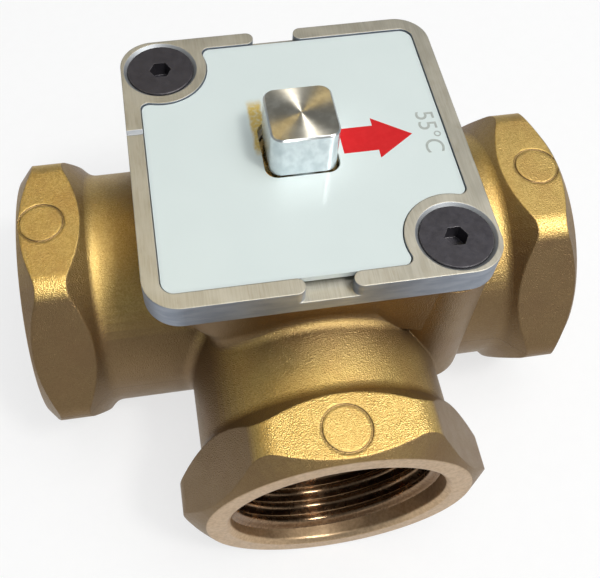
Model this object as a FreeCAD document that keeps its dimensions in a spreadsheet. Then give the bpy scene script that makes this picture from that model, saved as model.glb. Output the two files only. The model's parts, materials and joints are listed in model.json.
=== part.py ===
"""Three-way thermostatic mixing valve, forged brass body with three hexagonal female ports.

Frame: millimetres, +Z up along the adjusting spindle, origin at the centre of the flat pad under
the body; +X the mixed-water port, -X and -Y the two inlet ports. Every size is a cell of the sheet.
"""
import FreeCAD, Part
import os
from FreeCAD import Placement, Rotation, Vector
import Sketcher

os.makedirs("parts", exist_ok=True)
doc = FreeCAD.newDocument("mixing_valve")

# ----------------------------------------------------------------- driving dimensions
SIZES = [
    # forged body: three ports on one axis height
    ("hex_flats", 42.0), ("axis_height", 21.0), ("hex_corner_round", 4.5),
    ("side_reach", 44.0), ("front_reach", 44.7),
    ("tube_radius", 19.7), ("face_ring_radius", 20.35),
    ("face_chamfer_rise", 0.84),          # chamfer depth along the axis per mm of radius
    ("neck_back", 11.2), ("neck_fillet", 2.2), ("envelope_radius", 25.0),
    ("thread_radius", 16.65), ("thread_depth", 15.0), ("mouth_radius", 17.35),
    ("throat_radius", 12.5), ("throat_end", 20.0),
    ("passage_width", 16.0), ("chamber_radius", 13.5), ("chamber_floor", 4.0),
    ("groove_radius", 15.0),
    ("cold_low", 22.2), ("cold_high", 26.4), ("hot_low", 15.6), ("hot_high", 19.8),
    ("mixed_low", 6.5), ("mixed_high", 12.0),
    ("barrel_radius", 22.0), ("barrel_foot", 2.5), ("barrel_round", 6.0), ("body_top", 48.21),
    ("block_half", 22.5), ("block_foot", 33.0), ("block_corner", 14.0), ("block_under", 3.5),
    ("block_blend", 1.8),                 # hollow blend where the block stands on each tube
    ("web_touch", 17.4), ("web_reach", 24.64),      # where each flat web runs onto its boss
    ("pad_radius", 13.0), ("boss_radius", 6.15), ("boss_skirt", 6.6), ("boss_skirt_high", 21.5),
    ("boss_foot", 18.0), ("boss_foot_radius", 3.4),
    ("ring_mark_outer", 3.65), ("ring_mark_inner", 3.3), ("ring_mark_depth", 0.2),
    ("side_mark_inset", 4.0), ("front_mark_inset", 4.7),
    # cover plate and label plate
    ("gasket_thick", 0.5), ("gasket_clear", 0.01), ("cover_side", 50.0), ("cover_low", 48.71), ("cover_thick", 4.62),
    ("cover_corner", 5.2), ("screw_offset", 18.8), ("label_drop", 0.3), ("label_thick", 1.0),
    ("label_side", 44.8), ("label_gap", 0.12), ("label_scallop", 7.4), ("label_corner", 2.0),
    ("label_cusp", 1.2), ("window_wide", 11.2), ("window_deep", 10.8), ("window_shift", 0.3),
    ("window_corner", 1.9),
    ("notch_half", 4.55), ("notch_round", 1.25), ("notch_drop", 2.45), ("notch_inner", 20.8),
    ("rim_middle", 23.75), ("scribe_place", 6.2), ("scribe_size", 0.75),
    ("sink_radius", 5.75), ("screw_clear", 2.75),
    ("hub_radius", 13.3), ("hub_low", 35.0), ("hub_bore", 6.4), ("hub_shelf", 43.5),
    ("collar_room", 8.2), ("nut_pocket_flats", 17.7), ("nut_pocket_high", 41.1),
    # screws
    ("screw_head", 5.2), ("screw_sink", 0.15), ("screw_edge", 0.3), ("screw_shank", 2.45),
    ("screw_length", 16.0), ("socket_flats", 3.0), ("socket_depth", 2.5),
    ("boss_hole", 2.55), ("boss_hole_low", 36.4),
    # spindle and its bush
    ("neck_radius", 4.95), ("square_side", 10.0), ("square_corner", 1.8), ("square_low", 53.28),
    ("square_high", 60.73), ("square_edge", 0.25), ("collar_radius", 7.6), ("collar_low", 41.2),
    ("collar_high", 42.8), ("stud_radius", 3.95), ("stud_low", 31.5), ("seal_seat", 4.0),
    ("seal_gap_width", 1.3), ("seal_low_place", 46.0), ("seal_high_place", 49.6),
    ("seal_ring", 4.5), ("seal_wire", 0.45),
    ("bush_outer", 6.35), ("bush_inner", 5.02), ("bush_low", 43.55), ("bush_high", 51.9),
    ("washer_inner", 5.2), ("washer_outer", 7.9), ("washer_low", 42.88), ("washer_high", 43.42),
    # setting nut, over-travel spring and piston
    ("nut_flats", 17.3), ("nut_high", 40.0), ("nut_hex_low", 35.5), ("nut_roof", 34.5),
    ("skirt_radius", 8.6), ("skirt_inner", 7.5), ("skirt_low", 26.0), ("nut_hole", 4.05),
    ("over_mean", 6.0), ("over_wire", 0.6), ("over_low", 27.95), ("over_high", 34.4),
    ("over_pitch", 1.95),
    ("cup_radius", 7.35), ("cup_low", 26.75), ("cup_high", 27.85), ("cup_stem", 3.0),
    ("cup_stem_low", 26.1), ("keeper_inner", 5.6), ("keeper_outer", 7.45), ("keeper_low", 26.1),
    ("keeper_high", 26.65), ("piston_radius", 1.5), ("piston_low", 18.0),
    # wax capsule and shuttle
    ("guide_radius", 2.6), ("guide_high", 24.3), ("guide_bore", 1.6), ("guide_floor", 16.4),
    ("flange_radius", 5.0), ("flange_high", 20.25), ("flange_low", 18.8), ("bulb_radius", 4.2),
    ("bulb_low", 9.3), ("bulb_round", 1.5),
    ("clamp_flats", 8.6), ("clamp_low", 22.15), ("clamp_high", 23.8), ("clamp_hole", 2.68),
    ("shuttle_outer", 11.4), ("shuttle_inner", 10.2), ("shuttle_low", 19.3),
    ("shuttle_high", 26.3), ("web_low", 20.3), ("web_high", 22.1), ("web_hole", 2.68),
    ("web_window", 1.9), ("web_window_place", 7.9), ("ring_seat", 10.75), ("ring_seat_low", 22.1),
    ("ring_seat_high", 23.5), ("piston_ring_inner", 10.8), ("piston_ring_outer", 11.46),
    ("piston_ring_low", 22.2), ("piston_ring_high", 23.4),
    # cage, seats and return spring
    ("cage_outer", 13.2), ("cage_inner", 11.5), ("cage_low", 4.1), ("cage_high", 34.6),
    ("cage_floor_high", 5.1), ("cage_floor_hole", 5.6), ("cage_window", 13.0),
    ("cage_seal_seat", 12.2), ("cage_seal_width", 1.5), ("cage_seal_ring", 12.85),
    ("cage_seal_wire", 0.58), ("cage_seal_top", 29.5), ("cage_seal_mid", 21.0),
    ("cage_seal_base", 13.4),
    ("seat_inner", 9.8), ("seat_outer", 11.44), ("top_seat_low", 26.5), ("top_seat_high", 28.5),
    ("base_seat_low", 13.5), ("base_seat_high", 15.5),
    ("return_mean", 7.2), ("return_wire", 0.65), ("return_low", 5.2), ("return_high", 20.2),
    ("return_pitch", 2.7),
    ("gasket_radius", 21.6), ("gasket_hole", 13.7), ("gasket_ear", 6.0),
]
sheet = doc.addObject("Spreadsheet::Sheet", "sizes")
for row, (name, value) in enumerate(SIZES, start=1):
    sheet.set("A%d" % row, name)
    sheet.set("B%d" % row, str(value))
    sheet.setAlias("B%d" % row, name)
doc.recompute()
D = dict(SIZES)


def cell(text):
    """An expression with each size name written as its sheet cell."""
    out, word = "", ""
    for ch in text + " ":
        if ch.isalnum() or ch == "_":
            word += ch
            continue
        out += "sizes." + word if word in D else word
        out, word = out + ch, ""
    return out.strip()


def value(text):
    """The number such an expression stands for."""
    doc_value = sheet.evalExpression(cell(text))
    return float(getattr(doc_value, "Value", doc_value))


def bind(obj, **props):
    """Tie an object's properties to sheet expressions; returns the object."""
    for prop, text in props.items():
        obj.setExpression(prop.replace("__", "."), cell(str(text)))
    return obj


def plane_of(body, role):
    return [f for f in body.Origin.OriginFeatures if f.Role == role][0]


def polygon_sketch(body, name, role, corners, offset=None):
    """A closed outline whose every corner is pinned by two bound dimensions from the origin."""
    sketch = body.newObject("Sketcher::SketchObject", name)
    sketch.AttachmentSupport = [(plane_of(body, role), "")]
    sketch.MapMode = "FlatFace"
    if offset is not None:
        sketch.setExpression("AttachmentOffset.Base.z", cell(offset))
    pts = [Vector(value(a), value(b), 0) for a, b in corners]
    count = len(pts)
    for i in range(count):
        sketch.addGeometry(Part.LineSegment(pts[i], pts[(i + 1) % count]), False)
    for i in range(count):
        sketch.addConstraint(Sketcher.Constraint("Coincident", i, 2, (i + 1) % count, 1))
    for i, (a, b) in enumerate(corners):
        for kind, axis, text, size in (("DistanceX", -2, a, pts[i].x), ("DistanceY", -1, b, pts[i].y)):
            if text == "0":
                sketch.addConstraint(Sketcher.Constraint("PointOnObject", i, 1, axis))
            else:
                index = sketch.addConstraint(Sketcher.Constraint(kind, -1, 1, i, 1, size))
                sketch.setExpression("Constraints[%d]" % index, cell(text))
    return sketch


def turned(label, corners, extra=None):
    """A PartDesign body turned about Z: corners are (radius, height) expressions."""
    body = doc.addObject("PartDesign::Body", label)
    body.Label = label
    sketch = polygon_sketch(body, label + "_profile", "XZ_Plane", corners)
    turn = body.newObject("PartDesign::Revolution", label + "_turn")
    turn.Profile = sketch
    turn.ReferenceAxis = (sketch, ["V_Axis"])
    turn.Angle = 360
    doc.recompute()
    return body


def padded(label, corners, low, high):
    """A PartDesign body: an outline in plan, raised from one height to another."""
    body = doc.addObject("PartDesign::Body", label)
    body.Label = label
    sketch = polygon_sketch(body, label + "_outline", "XY_Plane", corners, low)
    pad = body.newObject("PartDesign::Pad", label + "_pad")
    pad.Profile = sketch
    pad.setExpression("Length", cell("(%s) - (%s)" % (high, low)))
    doc.recompute()
    return body


def rectangle(x0, x1, y0, y1):
    return [(x0, y0), (x1, y0), (x1, y1), (x0, y1)]


def upright_edges(shape, places, reach):
    """Names of the edges parallel to Z that stand within reach of one of the plan points."""
    names = []
    for i, edge in enumerate(shape.Edges, start=1):
        a, b = edge.Vertexes[0].Point, edge.Vertexes[-1].Point
        if abs(a.x - b.x) + abs(a.y - b.y) > 1e-6 or abs(a.z - b.z) < 1e-6:
            continue
        if any((Vector(x, y, a.z) - a).Length < reach for x, y in places):
            names.append("Edge%d" % i)
    return names


def round_uprights(body, name, places, radius, reach=1.0):
    """Round the standing edges of a PartDesign body near the given plan points."""
    doc.recompute()
    base = body.Tip
    fillet = body.newObject("PartDesign::Fillet", name)
    fillet.Base = (base, upright_edges(base.Shape, places, reach))
    fillet.setExpression("Radius", cell(radius))
    body.Tip = fillet
    doc.recompute()
    return fillet


def pocket_holes(body, name, circles, length, role="XY_Plane", offset=None):
    """Round holes cut through a PartDesign body, each (x, y, radius) by expression."""
    sketch = body.newObject("Sketcher::SketchObject", name + "_circles")
    sketch.AttachmentSupport = [(plane_of(body, role), "")]
    sketch.MapMode = "FlatFace"
    if offset is not None:
        sketch.setExpression("AttachmentOffset.Base.z", cell(offset))
    for i, (x, y, radius) in enumerate(circles):
        centre = Vector(value(x), value(y), 0)
        sketch.addGeometry(Part.Circle(centre, Vector(0, 0, 1), value(radius)), False)
        for kind, text, size in (("DistanceX", x, centre.x), ("DistanceY", y, centre.y)):
            index = sketch.addConstraint(Sketcher.Constraint(kind, -1, 1, i, 3, size))
            sketch.setExpression("Constraints[%d]" % index, cell(text))
        index = sketch.addConstraint(Sketcher.Constraint("Radius", i, value(radius)))
        sketch.setExpression("Constraints[%d]" % index, cell(radius))
    doc.recompute()
    before = body.Shape.Volume
    cut = body.newObject("PartDesign::Pocket", name)
    cut.Profile = sketch
    cut.Midplane = True
    cut.setExpression("Length", cell(length))
    doc.recompute()
    assert body.Shape.Volume < before - 1e-3, name + " cuts nothing"
    return cut


def box(name, x0, x1, y0, y1, z0, z1):
    part = doc.addObject("Part::Box", name)
    return bind(part, Length="(%s) - (%s)" % (x1, x0), Width="(%s) - (%s)" % (y1, y0),
                Height="(%s) - (%s)" % (z1, z0), Placement__Base__x=x0, Placement__Base__y=y0,
                Placement__Base__z=z0)


def post(name, radius, z0, z1, x="0", y="0"):
    part = doc.addObject("Part::Cylinder", name)
    return bind(part, Radius=radius, Height="(%s) - (%s)" % (z1, z0), Placement__Base__x=x,
                Placement__Base__y=y, Placement__Base__z=z0)


def hex_post(name, flats, z0, z1):
    part = doc.addObject("Part::Prism", name)
    part.Polygon = 6
    return bind(part, Circumradius="(%s) / 2 / cos(30 deg)" % flats,
                Height="(%s) - (%s)" % (z1, z0), Placement__Base__z=z0)


def joined(name, parts):
    out = doc.addObject("Part::MultiFuse", name)
    out.Shapes = parts
    out.Refine = True
    return out


def minus(name, base, tool):
    out = doc.addObject("Part::Cut", name)
    out.Base, out.Tool = base, tool
    out.Refine = True
    return out


def common(name, parts):
    out = doc.addObject("Part::MultiCommon", name)
    out.Shapes = parts
    return out


# ----------------------------------------------------------------- forged brass body
# Each port is a turned tube with a flared end, trimmed by a hexagonal bar with rounded corners.
# It is made standing on Z, then laid along its own direction at the height of the port axis.
def laid(obj, turn_deg):
    obj.Placement = Placement(Vector(0, 0, 0),
                              Rotation(Vector(0, 0, 1), turn_deg) * Rotation(Vector(0, 1, 0), 90))
    obj.setExpression("Placement.Base.z", cell("axis_height"))
    return obj


def port(name, reach, turn_deg):
    neck = "%s - neck_back" % reach
    flare = turned(name + "_flare", [
        ("0", "0"), ("tube_radius", "0"), ("tube_radius", neck),
        ("envelope_radius", neck + " + envelope_radius - tube_radius"),
        ("envelope_radius", "%s - (envelope_radius - face_ring_radius) * face_chamfer_rise" % reach),
        ("face_ring_radius", reach), ("0", reach)])
    base = flare.Tip
    rim = [("Edge%d" % i) for i, e in enumerate(base.Shape.Edges, start=1)
           if e.Curve.TypeId == "Part::GeomCircle" and abs(e.Curve.Radius - D["tube_radius"]) < 1e-4
           and abs(e.Curve.Center.z - value(neck)) < 1e-4]
    soft = flare.newObject("PartDesign::Fillet", name + "_neck")
    soft.Base = (base, rim)
    soft.setExpression("Radius", cell("neck_fillet"))
    flare.Tip = soft
    bar = hex_post(name + "_bar", "hex_flats", "0", reach)
    bar.Placement.Rotation = Rotation(Vector(0, 0, 1), 30)  # two flats level, corners to the sides
    doc.recompute()
    bar_round = doc.addObject("Part::Fillet", name + "_bar_round")
    bar_round.Base = bar
    edges = [i for i, e in enumerate(bar.Shape.Edges, start=1)
             if abs(e.Vertexes[0].Point.z - e.Vertexes[-1].Point.z) > 1]
    bar_round.Edges = [(i, D["hex_corner_round"], D["hex_corner_round"]) for i in edges]
    solid = common(name + "_form", [flare, bar_round])
    return laid(solid, turn_deg)


def port_cavity(name, reach, turn_deg, low, high):
    """Threaded mouth, core throat and the slot that joins it to its ring groove in the chamber."""
    mouth = turned(name + "_mouth", [
        ("0", "throat_end"), ("throat_radius", "throat_end"),
        ("throat_radius", "%s - thread_depth" % reach), ("thread_radius", "%s - thread_depth" % reach),
        ("thread_radius", "%s - (mouth_radius - thread_radius)" % reach), ("mouth_radius", reach),
        ("mouth_radius", "%s + 1" % reach), ("0", "%s + 1" % reach)])
    laid(mouth, turn_deg)
    slot = box(name + "_slot", "chamber_radius - 2", "throat_end + 1", "-passage_width / 2",
               "passage_width / 2", low, high)
    turn = doc.addObject("Part::MultiFuse", name + "_slot_turned")
    turn.Shapes = [slot, box(name + "_slot_root", "chamber_radius - 3", "chamber_radius",
                             "-passage_width / 2", "passage_width / 2", low, high)]
    turn.Placement = Placement(Vector(0, 0, 0), Rotation(Vector(0, 0, 1), turn_deg))
    return [mouth, turn]


PORTS = [("right", "side_reach", 0, "mixed_low", "mixed_high"),
         ("left", "side_reach", 180, "cold_low", "cold_high"),
         ("front", "front_reach", -90, "hot_low", "hot_high")]
solids, cavities = [], []
for name, reach, turn_deg, low, high in PORTS:
    solids.append(port(name, reach, turn_deg))
    cavities += port_cavity(name, reach, turn_deg, low, high)

barrel = turned("barrel", [("0", "barrel_foot"), ("barrel_radius", "barrel_foot"),
                           ("barrel_radius", "body_top"), ("0", "body_top")])
base = barrel.Tip
soft = barrel.newObject("PartDesign::Fillet", "barrel_soft")
soft.Base = (base, ["Edge%d" % i for i, e in enumerate(base.Shape.Edges, start=1)
                    if e.Curve.TypeId == "Part::GeomCircle"
                    and abs(e.Curve.Center.z - D["barrel_foot"]) < 1e-4])
soft.setExpression("Radius", cell("barrel_round"))
barrel.Tip = soft
solids += [barrel, post("pad", "pad_radius", "0", "barrel_foot + 4")]

# A square block under the cover, its standing corners and its underside both generously rounded.
block = padded("block", rectangle("-block_half", "block_half", "-block_half", "block_half"),
               "block_foot", "body_top")
round_uprights(block, "block_corners", [(sx * D["block_half"], sy * D["block_half"])
                                        for sx in (-1, 1) for sy in (-1, 1)], "block_corner")
base = block.Tip
under = block.newObject("PartDesign::Fillet", "block_underside")
under.Base = (base, ["Edge%d" % i for i, e in enumerate(base.Shape.Edges, start=1)
                     if e.BoundBox.ZMax < D["block_foot"] + 0.01])
under.setExpression("Radius", cell("block_under"))
block.Tip = under
solids.append(block)
forging = joined("forging_core", solids)


def blended(name, base, wanted, size):
    """A hollow or rounded blend along the edges that pass the test."""
    doc.recompute()
    out = doc.addObject("Part::Fillet", name)
    out.Base = base
    out.Edges = [(i, D[size], D[size]) for i, e in enumerate(base.Shape.Edges, start=1) if wanted(e)]
    doc.recompute()
    assert out.Shape.Volume > base.Shape.Volume, name + " fills nothing"
    return out


def tube_foot(x, y):
    """Tests for the arc where the block's flat side stands on a tube."""
    def wanted(edge):
        curve = edge.Curve
        return (curve.TypeId == "Part::GeomCircle" and abs(curve.Radius - D["tube_radius"]) < 1e-4
                and abs(curve.Center.x - value(x)) + abs(curve.Center.y - value(y)) < 1e-4)
    return wanted


for name, x, y in (("right", "block_half", "0"), ("front", "0", "-block_half"),
                   ("left", "-block_half", "0")):
    forging = blended("foot_blend_" + name, forging, tube_foot(x, y), "block_blend")

solids = [forging]
CORNERS = [("back_left", "-screw_offset", "screw_offset"),
           ("front_right", "screw_offset", "-screw_offset")]
for name, x, y in CORNERS:
    sx, sy = ("", "-") if x == "screw_offset" else ("-", "")
    start = "(block_half - block_corner)"
    solids.append(padded("web_" + name, [
        (sx + start, sy + start), (sx + start, sy + "block_half"),
        (sx + "web_touch", sy + "web_reach"), (sx + "web_reach", sy + "web_touch"),
        (sx + "block_half", sy + start)], "block_foot + block_under", "body_top"))
    boss = turned("boss_" + name, [("0", "boss_foot"), ("boss_foot_radius", "boss_foot"),
                                   ("boss_skirt", "boss_skirt_high"), ("boss_radius", "body_top"),
                                   ("0", "body_top")])
    bind(boss, Placement__Base__x=x, Placement__Base__y=y)
    solids.append(boss)
    cavities.append(post("boss_hole_" + name, "boss_hole", "boss_hole_low", "body_top + 1", x, y))

cavities.append(turned("chamber", [
    ("0", "chamber_floor"), ("chamber_radius", "chamber_floor"), ("chamber_radius", "mixed_low"),
    ("groove_radius", "mixed_low"), ("groove_radius", "mixed_high"), ("chamber_radius", "mixed_high"),
    ("chamber_radius", "hot_low"), ("groove_radius", "hot_low"), ("groove_radius", "hot_high"),
    ("chamber_radius", "hot_high"), ("chamber_radius", "cold_low"), ("groove_radius", "cold_low"),
    ("groove_radius", "cold_high"), ("chamber_radius", "cold_high"), ("chamber_radius", "body_top + 1"),
    ("0", "body_top + 1")]))
for name, reach, turn_deg, low, high in PORTS:
    ring = turned("mark_" + name, [
        ("ring_mark_inner", "hex_flats - ring_mark_depth"),
        ("ring_mark_outer", "hex_flats - ring_mark_depth"),
        ("ring_mark_outer", "hex_flats + 1"), ("ring_mark_inner", "hex_flats + 1")])
    way = {"right": ("side_reach - side_mark_inset", "0"), "left": ("side_mark_inset - side_reach", "0"),
           "front": ("0", "front_mark_inset - front_reach")}[name]
    bind(ring, Placement__Base__x=way[0], Placement__Base__y=way[1])
    cavities.append(ring)
valve_body = minus("valve_body", joined("forging", solids), joined("machining", cavities))
doc.recompute()

# ----------------------------------------------------------------- cover, label plate, gasket
def label_form(label, gap, low, high):
    """The label's outline in plan: a square with two corners scooped round the screws."""
    half = "(label_side / 2 + %s)" % gap
    body = padded(label, rectangle("-" + half, half, "-" + half, half), low, high)
    pocket_holes(body, label + "_scoops",
                 [(x, y, "label_scallop - %s" % gap) for n, x, y in CORNERS], "4 * cover_side",
                 offset=low)
    reach = value(half)
    off = D["screw_offset"]
    bite = (value("label_scallop - %s" % gap) ** 2 - (reach - off) ** 2) ** 0.5
    round_uprights(body, label + "_corners", [(-reach, -reach), (reach, reach)], "label_corner")
    round_uprights(body, label + "_cusps",
                   [(-reach, off - bite), (bite - off, reach), (reach, bite - off),
                    (off - bite, -reach)], "label_cusp")
    return body


label_plate = label_form("label_plate", "0", "cover_low + cover_thick - label_drop - label_thick",
                         "cover_low + cover_thick - label_drop")
window = polygon_sketch(label_plate, "window_outline", "XY_Plane",
                        rectangle("-window_wide / 2", "window_wide / 2",
                                  "window_shift - window_deep / 2", "window_shift + window_deep / 2"),
                        "cover_low + cover_thick")
opening = label_plate.newObject("PartDesign::Pocket", "window")
opening.Profile = window
opening.Midplane = True
opening.setExpression("Length", "sizes.cover_thick")
round_uprights(label_plate, "window_corners",
               [(sx * D["window_wide"] / 2, D["window_shift"] + sy * D["window_deep"] / 2)
                for sx in (-1, 1) for sy in (-1, 1)], "window_corner")

slab = padded("cover_slab", rectangle("-cover_side / 2", "cover_side / 2", "-cover_side / 2",
                                      "cover_side / 2"), "cover_low", "cover_low + cover_thick")
round_uprights(slab, "cover_corners", [(sx * D["cover_side"] / 2, sy * D["cover_side"] / 2)
                                       for sx in (-1, 1) for sy in (-1, 1)], "cover_corner")
hub = post("hub", "hub_radius", "hub_low", "cover_low + 1")
recess = label_form("recess", "label_gap", "cover_low + cover_thick - label_drop - label_thick - 0.02",
                    "cover_low + cover_thick + 1")
cover_tools = [recess, post("hub_hole", "hub_bore", "hub_low - 1", "cover_low + cover_thick + 1"),
               post("collar_hole", "collar_room", "hub_low - 1", "hub_shelf"),
               hex_post("nut_pocket", "nut_pocket_flats", "hub_low - 1", "nut_pocket_high")]
for name, side in (("front", -1), ("back", 1)):
    # the rim's ends beside each notch are full round, so a screwdriver can lever the plate out
    reach = [str(side) + " * cover_side / 2 * 1.1", str(side) + " * notch_inner"]
    low, high = sorted(reach, key=value)
    gap = box("notch_gap_" + name, "-notch_half", "notch_half", low, high,
              "cover_low + cover_thick - notch_drop", "cover_low + cover_thick + 1")
    ends = joined("rim_ends_" + name, [
        post("rim_end_%s_%s" % (name, way), "notch_round", "cover_low", "cover_low + cover_thick + 2",
             sign + "notch_half", str(side) + " * rim_middle")
        for way, sign in (("left", "-"), ("right", ""))])
    cover_tools.append(minus("notch_" + name, gap, ends))
scribe = box("scribe", "-cover_side / 2 - 1", "-label_side / 2 + 1", "0", "scribe_size", "0",
             "scribe_size")
scribe.Placement = Placement(Vector(0, 0, 0), Rotation(Vector(1, 0, 0), 45))
bind(scribe, Placement__Base__x="-cover_side / 2 - 1", Placement__Base__y="scribe_place",
     Placement__Base__z="cover_low + cover_thick - scribe_size * 0.7071")
cover_tools.append(scribe)
for name, x, y in CORNERS:
    sink = turned("sink_" + name, [
        ("0", "cover_low - 1"), ("screw_clear", "cover_low - 1"),
        ("screw_clear", "cover_low + cover_thick - (sink_radius - screw_clear)"),
        ("sink_radius", "cover_low + cover_thick"), ("sink_radius", "cover_low + cover_thick + 1"),
        ("0", "cover_low + cover_thick + 1")])
    bind(sink, Placement__Base__x=x, Placement__Base__y=y)
    cover_tools.append(sink)
cover_plate = minus("cover_plate", joined("cover_blank", [slab, hub]),
                    joined("cover_cuts", cover_tools))

gasket_low, gasket_high = "body_top + gasket_clear", "body_top + gasket_thick - gasket_clear"
gasket_blank = joined("gasket_blank", [post("gasket_disc", "gasket_radius", gasket_low, gasket_high)]
                      + [post("gasket_ear_" + n, "gasket_ear", gasket_low, gasket_high, x, y)
                         for n, x, y in CORNERS])
cover_gasket = minus("cover_gasket", gasket_blank, joined("gasket_holes", [
    post("gasket_bore", "gasket_hole", "body_top - 1", "cover_low + 1")]
    + [post("gasket_screw_" + n, "screw_clear", "body_top - 1", "cover_low + 1", x, y)
       for n, x, y in CORNERS]))

# ----------------------------------------------------------------- countersunk hex-socket screws
def cover_screw(label, x, y):
    top = "cover_low + cover_thick - screw_sink"
    body = turned(label, [
        ("0", top + " - screw_length"), ("screw_shank - 0.4", top + " - screw_length"),
        ("screw_shank", top + " - screw_length + 0.4"),
        ("screw_shank", top + " - screw_edge - (screw_head - screw_shank)"),
        ("screw_head", top + " - screw_edge"), ("screw_head", top + " - 0.1"),
        ("screw_head - 0.1", top), ("0", top)])
    corner = "socket_flats / 2 / cos(30 deg)"
    hexagon = [("%s * cos(%d deg)" % (corner, a), "%s * sin(%d deg)" % (corner, a))
               if a % 180 else ("%s * cos(%d deg)" % (corner, a), "0") for a in range(0, 360, 60)]
    socket = polygon_sketch(body, label + "_socket_outline", "XY_Plane", hexagon, top)
    cut = body.newObject("PartDesign::Pocket", label + "_socket")
    cut.Profile = socket
    cut.Midplane = True
    cut.setExpression("Length", "2 * sizes.socket_depth")
    bind(body, Placement__Base__x=x, Placement__Base__y=y)
    return body


screws = [cover_screw("cover_screw_" + n, x, y) for n, x, y in CORNERS]

# ----------------------------------------------------------------- spindle and bush
def groove(place, width, seat, surface):
    """Four corners of a rectangular ring groove, running down the profile."""
    return [(surface, "%s + %s / 2" % (place, width)), (seat, "%s + %s / 2" % (place, width)),
            (seat, "%s - %s / 2" % (place, width)), (surface, "%s - %s / 2" % (place, width))]


spindle = turned("spindle", [("0", "square_low + 1"), ("neck_radius", "square_low + 1")]
                 + groove("seal_high_place", "seal_gap_width", "seal_seat", "neck_radius")
                 + groove("seal_low_place", "seal_gap_width", "seal_seat", "neck_radius")
                 + [("neck_radius", "collar_high"), ("collar_radius", "collar_high"),
                    ("collar_radius", "collar_low"), ("stud_radius", "collar_low"),
                    ("stud_radius", "stud_low + 0.6"), ("stud_radius - 0.6", "stud_low"),
                    ("0", "stud_low")])
head = polygon_sketch(spindle, "square_outline", "XY_Plane",
                      rectangle("-square_side / 2", "square_side / 2", "-square_side / 2",
                                "square_side / 2"), "square_low")
square = spindle.newObject("PartDesign::Pad", "square")
square.Profile = head
square.setExpression("Length", "sizes.square_high - sizes.square_low")
round_uprights(spindle, "square_corners", [(sx * D["square_side"] / 2, sy * D["square_side"] / 2)
                                           for sx in (-1, 1) for sy in (-1, 1)], "square_corner")
base = spindle.Tip
rim = ["Edge%d" % i for i, e in enumerate(base.Shape.Edges, start=1)
       if all(abs(v.Point.z - D["square_high"]) < 1e-5 for v in e.Vertexes)]
chamfer = spindle.newObject("PartDesign::Chamfer", "square_top_edge")
chamfer.Base = (base, rim)
chamfer.setExpression("Size", "sizes.square_edge")
spindle.Tip = chamfer

spindle_bush = turned("spindle_bush", [
    ("bush_inner", "bush_low"), ("bush_outer", "bush_low"), ("bush_outer", "bush_high - 0.3"),
    ("bush_outer - 0.3", "bush_high"), ("bush_inner + 0.3", "bush_high"),
    ("bush_inner", "bush_high - 0.3")])
thrust_washer = turned("thrust_washer", rectangle("washer_inner", "washer_outer", "washer_low",
                                                  "washer_high"))


def o_ring(label, ring, wire, place):
    torus = doc.addObject("Part::Torus", label)
    torus.Label = label
    return bind(torus, Radius1=ring, Radius2=wire, Placement__Base__z=place)


rings = [o_ring("spindle_o_ring_lower", "seal_ring", "seal_wire", "seal_low_place"),
         o_ring("spindle_o_ring_upper", "seal_ring", "seal_wire", "seal_high_place"),
         o_ring("cage_o_ring_upper", "cage_seal_ring", "cage_seal_wire", "cage_seal_top"),
         o_ring("cage_o_ring_middle", "cage_seal_ring", "cage_seal_wire", "cage_seal_mid"),
         o_ring("cage_o_ring_lower", "cage_seal_ring", "cage_seal_wire", "cage_seal_base")]

# ----------------------------------------------------------------- setting nut and over-travel
skirt = turned("nut_skirt", [
    ("nut_hole", "nut_roof"), ("skirt_inner", "nut_roof"), ("skirt_inner", "skirt_low"),
    ("skirt_radius", "skirt_low"), ("skirt_radius", "nut_hex_low + 0.5"),
    ("nut_hole", "nut_hex_low + 0.5")])
nut_hex = minus("nut_hex_bored", hex_post("nut_hex", "nut_flats", "nut_hex_low", "nut_high"),
                post("nut_bore", "nut_hole", "nut_hex_low - 1", "nut_high + 1"))
setting_nut = joined("setting_nut", [skirt, nut_hex])


def coil(label, mean, wire, pitch, low, high):
    """A round-wire compression spring between two heights (wire included)."""
    helix = doc.addObject("Part::Helix", label + "_line")
    bind(helix, Pitch=pitch, Height="%s - %s - 2 * %s" % (high, low, wire), Radius=mean)
    section = doc.addObject("Part::Circle", label + "_section")
    bind(section, Radius=wire)
    section.Placement = Placement(Vector(value(mean), 0, 0), Rotation(Vector(1, 0, 0), 90))
    doc.recompute()
    sweep = doc.addObject("Part::Sweep", label)
    sweep.Label = label
    sweep.Sections = [section]
    sweep.Spine = (helix, ["Edge1"])
    sweep.Solid = True
    sweep.Frenet = True
    return bind(sweep, Placement__Base__z="%s + %s" % (low, wire))


overtravel_spring = coil("overtravel_spring", "over_mean", "over_wire", "over_pitch", "over_low",
                         "over_high")
spring_cup = turned("spring_cup", [("0", "cup_stem_low"), ("cup_stem", "cup_stem_low"),
                                   ("cup_stem", "cup_low"), ("cup_radius", "cup_low"),
                                   ("cup_radius", "cup_high"), ("0", "cup_high")])
cup_retaining_ring = turned("cup_retaining_ring", rectangle("keeper_inner", "keeper_outer",
                                                            "keeper_low", "keeper_high"))
piston_rod = turned("piston_rod", [("0", "piston_low"), ("piston_radius", "piston_low"),
                                   ("piston_radius", "cup_stem_low - 0.05"),
                                   ("0", "cup_stem_low - 0.05")])

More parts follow.
